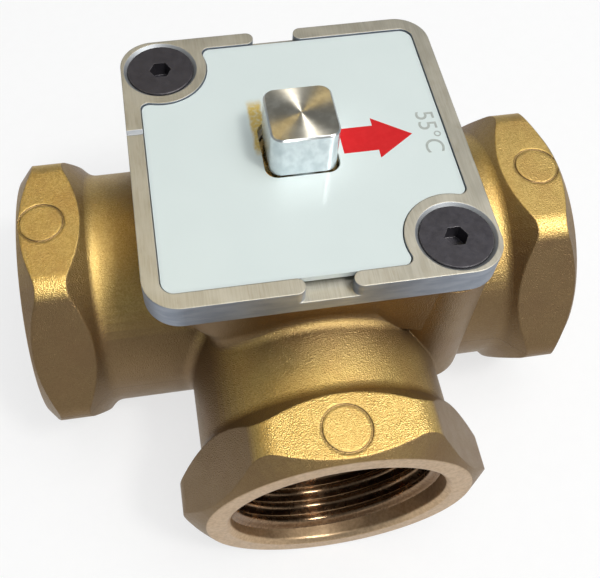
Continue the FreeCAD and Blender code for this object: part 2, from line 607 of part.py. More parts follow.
# ----------------------------------------------------------------- wax capsule and shuttle
wax_capsule = turned("wax_capsule", [
    ("0", "bulb_low"), ("bulb_radius - bulb_round", "bulb_low"),
    ("bulb_radius", "bulb_low + bulb_round"), ("bulb_radius", "flange_low"),
    ("flange_radius", "flange_low"), ("flange_radius", "flange_high"),
    ("guide_radius", "flange_high"), ("guide_radius", "guide_high"), ("guide_bore", "guide_high"),
    ("guide_bore", "guide_floor"), ("0", "guide_floor")])
capsule_nut = minus("capsule_nut", hex_post("clamp_hex", "clamp_flats", "clamp_low", "clamp_high"),
                    post("clamp_bore", "clamp_hole", "clamp_low - 1", "clamp_high + 1"))
tube = turned("shuttle_tube", [
    ("shuttle_inner", "shuttle_low"), ("shuttle_outer - 0.3", "shuttle_low"),
    ("shuttle_outer", "shuttle_low + 0.3"), ("shuttle_outer", "ring_seat_low"),
    ("ring_seat", "ring_seat_low"), ("ring_seat", "ring_seat_high"),
    ("shuttle_outer", "ring_seat_high"), ("shuttle_outer", "shuttle_high - 0.3"),
    ("shuttle_outer - 0.3", "shuttle_high"), ("shuttle_inner", "shuttle_high")])
web = turned("shuttle_web", rectangle("web_hole", "shuttle_inner + 0.4", "web_low", "web_high"))
# eight round windows let the water through the web past the capsule
pocket_holes(web, "web_windows",
             [(sx + "web_window_place * 0.924", sy + "web_window_place * 0.383", "web_window")
              for sx in ("", "-") for sy in ("", "-")]
             + [(sx + "web_window_place * 0.383", sy + "web_window_place * 0.924", "web_window")
                for sx in ("", "-") for sy in ("", "-")], "4 * cover_side")
shuttle = joined("shuttle", [tube, web])
shuttle_seal_ring = turned("shuttle_seal_ring", rectangle(
    "piston_ring_inner", "piston_ring_outer", "piston_ring_low", "piston_ring_high"))

# ----------------------------------------------------------------- cage, seats, return spring
def mirror_groove(place):
    return groove(place, "cage_seal_width", "cage_seal_seat", "cage_outer")


sleeve = turned("cage_sleeve", [
    ("cage_floor_hole", "cage_low"), ("cage_outer", "cage_low")]
    + mirror_groove("cage_seal_base")[::-1] + mirror_groove("cage_seal_mid")[::-1]
    + mirror_groove("cage_seal_top")[::-1]
    + [("cage_outer", "cage_high"), ("cage_inner", "cage_high"), ("cage_inner", "cage_floor_high"),
       ("cage_floor_hole", "cage_floor_high")])
cuts = []
for name, low, high in (("hot", "hot_low", "hot_high"), ("cold", "cold_low", "cold_high"),
                        ("mixed", "mixed_low", "mixed_high")):
    cuts.append(box("cage_%s_across" % name, "-cage_outer * 1.1", "cage_outer * 1.1",
                    "-cage_window / 2", "cage_window / 2", low, high))
    cuts.append(box("cage_%s_along" % name, "-cage_window / 2", "cage_window / 2",
                    "-cage_outer * 1.1", "cage_outer * 1.1", low, high))
mixing_cage = minus("mixing_cage", sleeve, joined("cage_windows", cuts))
upper_seat_ring = turned("upper_seat_ring", rectangle("seat_inner", "seat_outer", "top_seat_low",
                                                      "top_seat_high"))
lower_seat_ring = turned("lower_seat_ring", rectangle("seat_inner", "seat_outer", "base_seat_low",
                                                      "base_seat_high"))
return_spring = coil("return_spring", "return_mean", "return_wire", "return_pitch", "return_low",
                     "return_high")

# ----------------------------------------------------------------- check and write every piece
for part in (valve_body, cover_plate, cover_gasket, setting_nut, capsule_nut, shuttle, mixing_cage):
    part.Label = part.Name
doc.recompute()
PIECES = [valve_body, cover_plate, cover_gasket, label_plate] + screws + [
    spindle, spindle_bush, thrust_washer] + rings + [
    setting_nut, overtravel_spring, spring_cup, cup_retaining_ring, piston_rod, wax_capsule,
    capsule_nut, shuttle, shuttle_seal_ring, mixing_cage, upper_seat_ring, lower_seat_ring,
    return_spring]
broken = [o.Name for o in doc.Objects if "Invalid" in o.State or "Error" in o.State]
assert not broken, "failed features: %s" % broken
for piece in PIECES:
    shape = piece.Shape
    assert not shape.isNull() and shape.isValid(), piece.Label + " has no valid shape"
    assert len(shape.Solids) == 1, "%s has %d solids" % (piece.Label, len(shape.Solids))
for piece in PIECES:
    piece.Shape.exportStep("parts/%s.step" % piece.Label)
    bounds = piece.Shape.BoundBox
    print("%-24s volume %9.1f  x %.2f..%.2f  y %.2f..%.2f  z %.2f..%.2f" % (
        piece.Label, piece.Shape.Volume, bounds.XMin, bounds.XMax, bounds.YMin, bounds.YMax,
        bounds.ZMin, bounds.ZMax))
print(len(PIECES), "pieces written")
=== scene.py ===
# %% [markdown]
# # A brass thermostatic mixing valve
# The valve is a forged brass T with three hexagonal pipe ports. A square aluminium cover closes its
# chamber, a pale plate lies in the cover, and a square spindle stands through the plate.
# The solids come in ready made as a fixed frame. This lesson dresses them: it gives every piece its
# finish, adds what is too fine for the solids (pipe threads, the forging's parting line, printing),
# and lights the result on a pale table.

# %% Load the solid model
import bpy, bmesh, math
from mathutils import Matrix, Vector
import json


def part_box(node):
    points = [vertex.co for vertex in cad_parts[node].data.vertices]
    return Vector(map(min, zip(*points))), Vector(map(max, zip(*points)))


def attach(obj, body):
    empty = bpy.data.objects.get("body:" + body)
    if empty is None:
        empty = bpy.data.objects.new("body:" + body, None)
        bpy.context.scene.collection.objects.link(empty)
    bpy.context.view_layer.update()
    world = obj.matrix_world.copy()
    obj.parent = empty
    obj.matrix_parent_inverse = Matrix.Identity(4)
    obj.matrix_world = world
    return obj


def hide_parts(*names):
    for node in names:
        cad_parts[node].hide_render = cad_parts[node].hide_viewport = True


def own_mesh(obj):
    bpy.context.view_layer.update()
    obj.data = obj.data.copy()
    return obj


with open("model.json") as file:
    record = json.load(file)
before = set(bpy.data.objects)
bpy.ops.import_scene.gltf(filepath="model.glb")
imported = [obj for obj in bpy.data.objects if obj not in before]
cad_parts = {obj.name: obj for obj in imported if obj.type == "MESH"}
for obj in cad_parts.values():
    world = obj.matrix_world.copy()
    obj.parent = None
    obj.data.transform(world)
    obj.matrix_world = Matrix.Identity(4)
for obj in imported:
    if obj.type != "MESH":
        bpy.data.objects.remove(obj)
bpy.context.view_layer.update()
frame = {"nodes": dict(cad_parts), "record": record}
nodes = frame["nodes"]

# %% [markdown]
# ## Places on the valve
# What is added sits on something that the solids already have, so the main places are read from the
# frame, not typed in. The body's box gives the port faces, the record's mount for the front port
# gives the height of the common port axis, and the plate's box gives the face that is printed on.

# %% Read the main places
MM = 0.001
body_low, body_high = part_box("valve_body")
mounts = {mount["name"]: mount for mount in frame["record"]["mounts"]}
AXIS = mounts["front_port"]["pos_m"][2]
SIDE_FACE, FRONT_FACE = body_high[0], -body_low[1]
LABEL_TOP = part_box("label_plate")[1][2]
print("port faces at", round(SIDE_FACE / MM, 2), "and", round(FRONT_FACE / MM, 2),
      "mm; port axes at", round(AXIS / MM, 2), "mm; plate top at", round(LABEL_TOP / MM, 2), "mm")

# %% [markdown]
# ## A small kit for finishes
# A finish is a net of nodes. A few moves come back in every one of them: scatter a pattern over the
# piece in real millimetres, squeeze a grey value into a band, mix two colours by it, and raise the
# skin by it. Short helpers for those moves keep each finish readable. Colours are written as the
# shares of red, green and blue light that the stuff sends back.

# %% Helpers for finishes
class Finish:
    """A material being built: nodes are added with add() and joined with join()."""
    def __init__(self, name):
        self.material = bpy.data.materials.new(name)
        self.material.use_nodes = True
        self.tree = self.material.node_tree
        self.tree.nodes.clear()
        self.surface = self.add("ShaderNodeBsdfPrincipled")
        self.out = self.add("ShaderNodeOutputMaterial")
        self.join(self.surface.outputs["BSDF"], self.out.inputs["Surface"])
        self.place = self.add("ShaderNodeTexCoord").outputs["Object"]

    def add(self, kind, **settings):
        node = self.tree.nodes.new(kind)
        for key, value in settings.items():
            setattr(node, key, value)
        return node

    def join(self, source, target):
        self.tree.links.new(source, target)

    def feed(self, target, value):
        """Joins a node's result to the target, or sets the target to a plain value."""
        if isinstance(value, bpy.types.NodeSocket):
            self.join(value, target)
        else:
            target.default_value = value

    def calc(self, kind, a, b=0.0):
        """One step of arithmetic; each value is a number or another node's result."""
        node = self.add("ShaderNodeMath", operation=kind)
        for target, value in zip(node.inputs, (a, b)):
            self.feed(target, value)
        return node.outputs[0]

    def noise(self, grain_mm, detail=3.0, rough=0.55, stretch=(1, 1, 1), warp=0.0):
        """Noise whose blobs are about grain_mm across, drawn out by stretch."""
        mapping = self.add("ShaderNodeMapping")
        mapping.inputs["Scale"].default_value = [1.0 / (grain_mm * MM * s) for s in stretch]
        self.join(self.place, mapping.inputs["Vector"])
        node = self.add("ShaderNodeTexNoise")
        node.inputs["Scale"].default_value = 1.0
        node.inputs["Detail"].default_value = detail
        node.inputs["Roughness"].default_value = rough
        node.inputs["Distortion"].default_value = warp
        self.join(mapping.outputs[0], node.inputs["Vector"])
        return node.outputs["Fac"]

    def dents(self, grain_mm):
        """Round-bottomed dents side by side, each about grain_mm across: 0 in the middle of one."""
        node = self.add("ShaderNodeTexVoronoi")
        node.inputs["Scale"].default_value = 1.0 / (grain_mm * MM)
        self.join(self.place, node.inputs["Vector"])
        far = node.outputs["Distance"]
        return self.calc("MULTIPLY", far, far)

    def shelter(self, reach_mm):
        """1 on open skin, towards 0 in corners and beside whatever stands within reach_mm."""
        node = self.add("ShaderNodeAmbientOcclusion", samples=6)
        node.inputs["Distance"].default_value = reach_mm * MM
        return node.outputs["AO"]

    def band(self, value, low, high, to_low=0.0, to_high=1.0, smooth=True):
        """Maps low..high to to_low..to_high, held at both ends."""
        node = self.add("ShaderNodeMapRange", interpolation_type="SMOOTHSTEP" if smooth else "LINEAR")
        for key, v in zip(("Value", "From Min", "From Max", "To Min", "To Max"),
                          (value, low, high, to_low, to_high)):
            self.feed(node.inputs[key], v)
        return node.outputs[0]

    def mix(self, share, a, b):
        """Colour a where share is 0, colour b where it is 1."""
        node = self.add("ShaderNodeMix", data_type="RGBA")
        self.feed(node.inputs[0], share)
        for target, colour in ((node.inputs[6], a), (node.inputs[7], b)):
            self.feed(target, colour if isinstance(colour, bpy.types.NodeSocket)
                      else (*colour, 1.0))
        return node.outputs[2]

    def axes(self):
        """The three coordinates of the point, in metres from the model's origin."""
        node = self.add("ShaderNodeSeparateXYZ")
        self.join(self.place, node.inputs[0])
        return node.outputs[0], node.outputs[1], node.outputs[2]

    def upward(self):
        """How far the surface faces up: 1 for a top, 0 for an upright side, -1 for an underside."""
        geometry = self.add("ShaderNodeNewGeometry")
        node = self.add("ShaderNodeSeparateXYZ")
        self.join(geometry.outputs["True Normal"], node.inputs[0])
        return node.outputs[2]

    def length(self, a, b):
        """The distance from an axis, from the two coordinates across it."""
        squares = self.calc("ADD", self.calc("MULTIPLY", a, a), self.calc("MULTIPLY", b, b))
        return self.calc("SQRT", squares)

    def turned(self, axis):
        """Draws glints out across the fine rings that a lathe or tap leaves round the axis."""
        rings = self.add("ShaderNodeTangent", direction_type="RADIAL", axis=axis)
        self.join(rings.outputs[0], self.surface.inputs["Tangent"])
        self.set(Anisotropic_Rotation=0.25)

    def bumps(self, height, depth_mm, strength=1.0, soft_edge_mm=0.0):
        """Raises the skin by height times depth_mm; with soft_edge_mm, edges catch light as if rounded."""
        node = self.add("ShaderNodeBump")
        node.inputs["Strength"].default_value = strength
        node.inputs["Distance"].default_value = depth_mm * MM
        self.join(height, node.inputs["Height"])
        if soft_edge_mm:
            soft = self.add("ShaderNodeBevel", samples=6)
            soft.inputs["Radius"].default_value = soft_edge_mm * MM
            self.join(soft.outputs[0], node.inputs["Normal"])
        self.join(node.outputs[0], self.surface.inputs["Normal"])

    def set(self, **constants):
        """Fixed values of the surface, by name: Coat_Weight=0.25 and the like."""
        for name, value in constants.items():
            self.surface.inputs[name.replace("_", " ")].default_value = value

    def colour(self, value):
        self.feed(self.surface.inputs["Base Color"], value)

    def rough(self, value):
        self.feed(self.surface.inputs["Roughness"], value)


def dress(finish, *names):
    """Put a finish on solid pieces, in every material slot they have."""
    for name in names:
        mesh = nodes[name].data
        if not mesh.materials:
            mesh.materials.append(finish.material)
        for i in range(len(mesh.materials)):
            mesh.materials[i] = finish.material
    print(finish.material.name, "on", ", ".join(names))

# %% [markdown]
# ## Forged and blasted brass
# The body is hot forged, blasted with fine shot, and then machined only inside the ports and on
# their end rings. Its skin is tiny round-bottomed dents side by side, which spread a strong light
# over a broad patch, so a highlight is a soft golden glow with a clear end. A cell pattern makes the
# dents: the square of the distance to the middle of a cell is a round-bottomed dent. Faces that look
# up keep the lighter brass, while sides and corners are painted a darker brown: painted shade, where
# less light reaches them. The cut places are found by their distances from each port's axis and face,
# and get bright, smoother metal.

# %% Make the forged brass
RING_R = 20.5 * MM                         # just outside the cut end ring of a port
BORE_R, BORE_DEEP = 17.5 * MM, 30 * MM     # just outside the bore, and how far in it stays bright
FLASH_HALF = 0.22 * MM                     # half the width of the forging's parting line
# the first brown is painted shade for the sides and sheltered corners; the second is the colour of the
# forging's parting line
PAINTED_SHADE_BROWN, FLASH_BROWN = (0.140, 0.086, 0.052), (0.13, 0.08, 0.04)

def forged_brass():
    f = Finish("forged_brass")
    x, y, z = f.axes()
    up = f.calc("SUBTRACT", z, AXIS)

    def cut(across, out):
        """1 on a port's end ring and in its bore: out is how far a point stands past the port face."""
        face = f.calc("MULTIPLY", f.band(out, -0.12 * MM, -0.04 * MM),
                      f.band(across, RING_R, RING_R - 0.2 * MM))
        bore = f.calc("MULTIPLY", f.band(out, -BORE_DEEP, 0.5 * MM - BORE_DEEP),
                      f.band(across, BORE_R, BORE_R - 0.1 * MM))
        return f.calc("MAXIMUM", face, bore)

    past_side = f.calc("SUBTRACT", f.calc("ABSOLUTE", x), SIDE_FACE)
    past_front = f.calc("SUBTRACT", f.calc("MULTIPLY", y, -1.0), FRONT_FACE)
    machined = f.calc("MAXIMUM", cut(f.length(y, up), past_side), cut(f.length(x, up), past_front))
    fine = f.noise(0.16, detail=3.0, rough=0.6)
    grain = f.noise(0.34, detail=2.0)
    stain = f.noise(7.0, detail=4.0)
    speckle = f.band(f.calc("ADD", f.calc("MULTIPLY", fine, 0.5), f.calc("MULTIPLY", grain, 0.5)),
                     0.38, 0.62)
    cast = f.mix(speckle, (0.480, 0.325, 0.100), (0.630, 0.450, 0.165))
    cast = f.mix(f.band(stain, 0.45, 0.70, 0.0, 0.40), cast, (0.460, 0.270, 0.090))
    # painted shade: sides, and corners beside nearby parts, are darkened to a brown; tops keep the lighter
    # brass
    painted_shade = f.calc("MAXIMUM", f.band(f.upward(), 0.86, 0.50, 0.0, 0.82),
                   f.band(f.shelter(12), 0.90, 0.40, 0.0, 0.85))
    cast = f.mix(painted_shade, cast, PAINTED_SHADE_BROWN)
    bright = f.mix(f.band(f.noise(0.5), 0.3, 0.7), (0.42, 0.290, 0.170), (0.54, 0.385, 0.235))
    # the flash of the forging: a fine line at the height of the port axes
    line = f.band(f.calc("ABSOLUTE", up), FLASH_HALF, 0.06 * MM)
    f.colour(f.mix(machined, f.mix(f.calc("MULTIPLY", line, 0.35), cast, FLASH_BROWN), bright))
    f.rough(f.calc("ADD", f.band(machined, 0.0, 1.0, 0.43, 0.40),
                   f.band(f.noise(3.0), 0.3, 0.7, -0.03, 0.03)))
    f.set(Metallic=0.92)
    blast = f.calc("ADD", f.dents(0.18), f.calc("MULTIPLY", grain, 0.25))
    blast = f.calc("MULTIPLY", blast, f.band(machined, 0.0, 1.0, 1.0, 0.08))
    f.bumps(f.calc("ADD", blast, f.calc("MULTIPLY", line, 0.3)), 0.055, 1.0, soft_edge_mm=0.5)
    return f

dress(forged_brass(), "valve_body")

# %% [markdown]
# ## The milled aluminium cover
# The cover is sawn from drawn aluminium bar: its sides keep the satin skin of the bar, while its
# top has been faced and carries faint lines. The sides are coloured a darker, cool blue-grey and the
# top a warmer grey: on the sides this is painted shade and painted reflection of the cool room. Which
# of the two a point gets is told by how far the surface faces up. The lines are a noise stretched
# long in one direction; a few broader ones are cutter marks.

# %% Make the cover's metal
def milled_aluminium():
    f = Finish("milled_aluminium")
    top = f.band(f.upward(), 0.6, 0.9)
    lines = f.noise(0.20, detail=3.0, stretch=(1, 24, 1), warp=0.3)
    marks = f.noise(1.1, detail=3.0, stretch=(1, 3, 1), warp=0.6)
    haze = f.noise(5.0, detail=3.0)
    faced = f.mix(f.band(lines, 0.3, 0.7), (0.390, 0.372, 0.315), (0.455, 0.436, 0.380))
    faced = f.mix(f.band(marks, 0.50, 0.70, 0.0, 0.30), faced, (0.34, 0.305, 0.235))
    faced = f.mix(f.band(haze, 0.45, 0.7, 0.0, 0.4), faced, (0.50, 0.485, 0.43))
    # the sides: the drawn skin, coloured a darker cool blue-grey as painted shade and painted reflection
    # of the cool room
    drawn_skin_painted_shade = f.mix(f.band(f.noise(1.2, detail=3.0, stretch=(4, 4, 1)), 0.3, 0.7), (0.245, 0.275, 0.325),
                  (0.325, 0.355, 0.410))
    f.colour(f.mix(top, drawn_skin_painted_shade, faced))
    f.rough(f.band(f.calc("ADD", f.calc("MULTIPLY", lines, 0.4), haze), 0.4, 1.0, 0.48, 0.58))
    f.set(Metallic=0.85)
    f.bumps(f.calc("ADD", lines, f.calc("MULTIPLY", marks, 1.6)), 0.006, 0.6, soft_edge_mm=0.22)
    return f

dress(milled_aluminium(), "cover_plate")

# %% [markdown]
# ## The pale plate
# The plate is a printed sheet with a hard, slightly glossy coat over a pale blue-grey ground. It
# is very even, so its finish lives on small things: a barely uneven ground, a fine orange-peel in
# the gloss, hair scratches that change the gloss and not the colour, and a greyer band along its
# outer edge. A soft ochre streak lies beside the spindle.

# %% Make the plate's finish
GREY_EDGE_FROM, GREY_EDGE_FULL = 21.6 * MM, 22.4 * MM  # how far from its middle the plate turns greyer
STREAK_X, STREAK_Y = -5.35 * MM, 4.9 * MM        # the middle of the ochre streak
STREAK_SOLID = (0.75 * MM, 3.9 * MM)          # half the width and length of its full colour
STREAK_END = (1.35 * MM, 6.0 * MM)            # and of all of it

def plate_coat():
    f = Finish("plate_coat")
    x, y, _ = f.axes()
    ground = f.mix(f.band(f.noise(9.0, detail=1.0), 0.1, 0.9, smooth=False), (0.672, 0.748, 0.730),
                   (0.702, 0.776, 0.756))
    # greyer towards the outer edge, beside the cover's rim
    edge = f.band(f.calc("MAXIMUM", f.calc("ABSOLUTE", x), f.calc("ABSOLUTE", y)), GREY_EDGE_FROM, GREY_EDGE_FULL,
                  0.0, 0.35)
    ground = f.mix(edge, ground, (0.56, 0.62, 0.62))
    # an ochre streak: soft, along the left edge of the window
    wobble = f.calc("MULTIPLY", f.calc("SUBTRACT", f.noise(2.4), 0.5), 0.9 * MM)
    across = f.calc("ABSOLUTE", f.calc("SUBTRACT", f.calc("ADD", x, wobble), STREAK_X))
    along = f.calc("ABSOLUTE", f.calc("SUBTRACT", f.calc("ADD", y, wobble), STREAK_Y))
    ochre_streak = f.calc("MULTIPLY", f.band(across, STREAK_END[0], STREAK_SOLID[0]),
                 f.band(along, STREAK_END[1], STREAK_SOLID[1]))
    ochre_streak = f.calc("MULTIPLY", ochre_streak, f.band(f.noise(0.5), 0.25, 0.6, 0.55, 1.0))
    f.colour(f.mix(ochre_streak, ground, (0.62, 0.44, 0.10)))
    scratch = f.band(f.noise(0.25, detail=3.0, stretch=(1, 40, 1)), 0.66, 0.74)
    f.rough(f.calc("ADD", f.band(f.noise(9.0, detail=1.0), 0.1, 0.9, 0.275, 0.295, smooth=False),
                   f.calc("MULTIPLY", scratch, 0.04)))
    f.set(Coat_Weight=0.25, Coat_Roughness=0.12)
    f.bumps(f.noise(0.7, detail=2.0), 0.004, 0.5, soft_edge_mm=0.12)
    return f

dress(plate_coat(), "label_plate")

# %% [markdown]
# ## Black countersunk screws
# The screws are steel, blackened hot and left a little oily. The black skin wears first on the head's
# rim and on the corners of the socket, where bare steel glints through. Edges are found with a
# bevel: it rounds off the surface's direction near an edge, so where that direction leaves the true
# one, there is an edge. A little dust lies in spots on the head.

# %% Make the blackened steel
def edge_share(f, size_mm):
    """1 on a piece's edges, 0 on its faces: how far a rounded-off direction turns from the true one."""
    soft = f.add("ShaderNodeBevel", samples=6)
    soft.inputs["Radius"].default_value = size_mm * MM
    true = f.add("ShaderNodeNewGeometry")
    dot = f.add("ShaderNodeVectorMath", operation="DOT_PRODUCT")
    f.join(soft.outputs[0], dot.inputs[0])
    f.join(true.outputs["Normal"], dot.inputs[1])
    return f.band(dot.outputs["Value"], 0.995, 0.90)

def black_steel():
    f = Finish("black_steel")
    worn = f.calc("MULTIPLY", edge_share(f, 0.12), f.band(f.noise(0.8), 0.35, 0.6))
    dust = f.band(f.noise(0.35, detail=5.0, rough=0.7), 0.60, 0.72)
    skin = f.mix(f.band(f.noise(1.6), 0.35, 0.65), (0.044, 0.041, 0.049), (0.052, 0.049, 0.059))
    skin = f.mix(f.calc("MULTIPLY", dust, 0.5), skin, (0.10, 0.095, 0.10))
    f.colour(f.mix(f.calc("MULTIPLY", worn, 0.6), skin, (0.28, 0.27, 0.27)))
    f.rough(f.band(f.noise(0.9), 0.3, 0.7, 0.42, 0.55))
    f.set(Metallic=0.55)
    f.bumps(f.noise(0.30, detail=3.0), 0.02, 0.6, soft_edge_mm=0.1)
    return f

dress(black_steel(), "cover_screw_back_left", "cover_screw_front_right")

# %% [markdown]
# ## The turned spindle
# The spindle's end was turned in a lathe before its square was milled, so its top carries very fine
# circles. The coarsest are a faint ripple here, a sine of the distance from the axis. The rest are too
# fine to draw, but the eye sees the streak of light that they throw across the face. An anisotropic
# surface whose direction runs round the Z axis, given a quarter turn so that the gloss spreads across
# the circles and not along them, gives that streak.

# %% Make the turned steel
RING_PITCH = 0.22 * MM

def turned_steel():
    f = Finish("turned_steel")
    x, y, _ = f.axes()
    top = f.band(f.upward(), 0.6, 0.9)
    rings = f.calc("SINE", f.calc("MULTIPLY", f.length(x, y), 2 * math.pi / RING_PITCH))
    blotch = f.noise(2.2, detail=3.0)
    faced = f.mix(f.band(blotch, 0.35, 0.65), (0.50, 0.465, 0.385), (0.66, 0.625, 0.535))
    # the square's sides: a pale blue-white, a painted reflection of the pale plate beside them; the top
    # keeps a warmer grey
    side_painted_reflection = f.mix(f.band(f.noise(1.2, detail=4.0, stretch=(1, 1, 1.6)), 0.3, 0.7), (0.62, 0.68, 0.72),
                 (0.80, 0.85, 0.88))
    f.colour(f.mix(top, side_painted_reflection, faced))
    f.rough(f.band(top, 0.0, 1.0, 0.24, 0.42, smooth=False))
    f.set(Metallic=1.0, Anisotropic=0.9)
    f.turned("Z")
    height = f.calc("ADD", f.calc("MULTIPLY", rings, 0.15), f.noise(0.5, detail=3.0))
    f.bumps(height, 0.01, 0.5, soft_edge_mm=0.15)
    return f

dress(turned_steel(), "spindle")

# %% [markdown]
# ## Finishes for the sealed works
# The pieces inside the chamber show only when the valve is taken apart or seen through a port, but
# each still has its own stuff: turned brass, two hard polymers, black seal rubber, gasket fibre and
# drawn spring wire. One recipe serves them all: a ground with a little variation, a direction of
# grain, and a gloss.

# %% Make the inner finishes
def inner_finish(name, dark, light, grain_mm, stretch, roughness, metallic, depth_mm):
    """A colour between dark and light, with its grain stretched one way and raised by depth_mm."""
    f = Finish(name)
    grain = f.noise(grain_mm, detail=4.0, stretch=stretch)
    f.colour(f.mix(f.band(grain, 0.3, 0.7), dark, light))
    f.rough(f.band(f.noise(grain_mm * 4), 0.3, 0.7, roughness - 0.07, roughness + 0.07))
    f.set(Metallic=metallic)
    f.bumps(grain, depth_mm, 0.6, soft_edge_mm=0.1)
    return f

dress(inner_finish("turned_brass", (0.36, 0.25, 0.10), (0.50, 0.36, 0.16), 0.25, (30, 30, 1), 0.25,
                   1.0, 0.01),
      "spindle_bush", "setting_nut", "spring_cup", "wax_capsule", "capsule_nut")
dress(inner_finish("moulded_polymer", (0.016, 0.016, 0.018), (0.032, 0.032, 0.034), 0.4, (1, 1, 1),
                   0.5, 0.0, 0.02), "mixing_cage", "shuttle")
dress(inner_finish("bearing_polymer", (0.58, 0.56, 0.48), (0.70, 0.68, 0.60), 0.8, (1, 1, 1), 0.42,
                   0.0, 0.01), "thrust_washer", "shuttle_seal_ring")
dress(inner_finish("seal_rubber", (0.010, 0.010, 0.010), (0.022, 0.022, 0.022), 0.5, (1, 1, 1), 0.6,
                   0.0, 0.01), "spindle_o_ring_lower", "spindle_o_ring_upper", "cage_o_ring_upper",
      "cage_o_ring_middle", "cage_o_ring_lower")
dress(inner_finish("gasket_fibre", (0.035, 0.033, 0.030), (0.085, 0.080, 0.072), 0.35, (1, 1, 1), 0.8,
                   0.0, 0.03), "cover_gasket")
dress(inner_finish("spring_wire", (0.45, 0.45, 0.45), (0.66, 0.66, 0.65), 0.2, (1, 1, 6), 0.28, 1.0,
                   0.008), "overtravel_spring", "return_spring", "cup_retaining_ring", "piston_rod",
      "upper_seat_ring", "lower_seat_ring")

# %% [markdown]
# ## The return spring
# When the capsule warms, the shuttle goes down and shortens its return spring: it loses 3.6 mm of
# its 15 mm. A rigid piece can't shorten, so the spring is swapped for a copy with a mesh of its own,
# which stays with the body.

# %% Put a copy of the spring in its place
coil = bpy.data.objects.new("return_coil", nodes["return_spring"].data.copy())
coil.matrix_world = nodes["return_spring"].matrix_world.copy()
bpy.context.collection.objects.link(coil)
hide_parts("return_spring")
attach(coil, "valve")
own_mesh(coil)

# %% [markdown]
# ## Pipe threads
# Each port has a parallel one-inch pipe thread: eleven turns to the inch, with rounded crests that
# stand 1.4 mm in from the bore. In the solids the bore is plain, at the thread's root. A thread is
# a small profile carried along a helix, so it is made as a grid of points: round the bore one way,
# across one pitch of rounded ridge the other way, stepping forward one pitch each turn. At both
# ends the ridge fades into the wall, as it does where a tap runs out.

# %% Cut the threads
PITCH = 25.4 / 11 * MM
ROOT_R = mounts["front_port"]["dims"]["r_mm"] * MM
SUNK = 0.06 * MM                           # how far the ridge's foot lies inside the bore's wall
RIDGE = 1.48 * MM
THREAD_LENGTH = 14.0 * MM
LEAD_IN = 0.75 * MM                        # plain bore before the first turn
CLEAR_TURNS, FADE_TURNS = 0.55, 0.6        # left off at the far end, and the ridge's run-out

def pipe_thread(name, face, turn_deg):
    """An internal thread, in a port whose face is that far out from the spindle axis.
    It winds left-handed, a known fault: pipe thread is right-handed, with angle running the other way."""
    around, across = 96, 12                         # points round a turn, and strips across the ridge
    steps = int((THREAD_LENGTH / PITCH - CLEAR_TURNS) * around)
    runout = FADE_TURNS * around
    mesh = bpy.data.meshes.new(name)
    shape = bmesh.new()
    rows = []
    for i in range(steps + 1):
        angle = 2 * math.pi * i / around
        start = LEAD_IN + PITCH * i / around        # depth behind the face
        fade = min(1.0, i / runout, (steps - i) / runout)
        row = []
        for j in range(across + 1):
            share = j / across
            crest = 0.5 - 0.5 * math.cos(2 * math.pi * share)
            crest = min(1.0, 1.22 * crest) ** 0.8   # flatter on top and fuller at the foot
            radius = ROOT_R + SUNK - RIDGE * fade * crest
            depth = start + PITCH * share
            row.append(shape.verts.new((face - depth, radius * math.cos(angle),
                                        AXIS + radius * math.sin(angle))))
        rows.append(row)
    for a, b in zip(rows, rows[1:]):
        for j in range(across):
            shape.faces.new((a[j], b[j], b[j + 1], a[j + 1]))
    for end in (rows[0], rows[-1][::-1]):
        shape.faces.new(end)
    for skin in shape.faces:
        skin.smooth = True
    shape.transform(Matrix.Rotation(math.radians(turn_deg), 4, "Z"))
    bmesh.ops.recalc_face_normals(shape, faces=shape.faces)
    shape.to_mesh(mesh)
    shape.free()
    thread = bpy.data.objects.new(name, mesh)
    bpy.context.collection.objects.link(thread)
    return thread

def thread_metal(name, axis):
    """Cut brass, coloured dark as painted shade of the deep bore; the tool's fine rings draw every glint
    out along the port's axis.
    """
    f = Finish(name)
    grain = f.noise(0.5, detail=4.0)
    # painted shade: far darker than the bright cut rings at the port ends, for the shade deep in the bore
    f.colour(f.mix(f.band(grain, 0.3, 0.7), (0.17, 0.105, 0.060), (0.26, 0.170, 0.100)))
    f.rough(f.band(f.noise(2.0), 0.3, 0.7, 0.20, 0.30))
    f.set(Metallic=1.0, Anisotropic=0.85)
    f.turned(axis)
    f.bumps(grain, 0.01, 0.6)
    return f

side_cut = thread_metal("side_thread_metal", "X")
front_cut = thread_metal("front_thread_metal", "Y")
for name, face, turn_deg, cut_metal in (("right_thread", SIDE_FACE, 0, side_cut),
                                        ("left_thread", SIDE_FACE, 180, side_cut),
                                        ("front_thread", FRONT_FACE, -90, front_cut)):
    thread = pipe_thread(name, face, turn_deg)
    thread.data.materials.append(cut_metal.material)
    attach(thread, "valve")
    print(name, len(thread.data.polygons), "faces")

# %% [markdown]
# ## Printing on the plate
# A red arrow points to the mixed-water port, and a setting is printed in grey beside it. Ink
# is a real layer, so both are thin solid pieces that lie on the plate, a few hundredths of a
# millimetre proud. The plate is otherwise left plain.

# %% Print the arrow and the setting
INK = 0.03 * MM

def ink(name, colour, darker, roughness):
    """Printing ink: one colour, a little uneven, with a dull skin."""
    f = Finish(name)
    f.colour(f.mix(f.band(f.noise(0.8, detail=3.0), 0.35, 0.7), colour, darker))
    f.rough(f.band(f.noise(1.5), 0.3, 0.7, roughness - 0.04, roughness + 0.04))
    f.set(Specular_IOR_Level=0.25)
    f.bumps(f.noise(0.4), 0.003, 0.4)
    return f

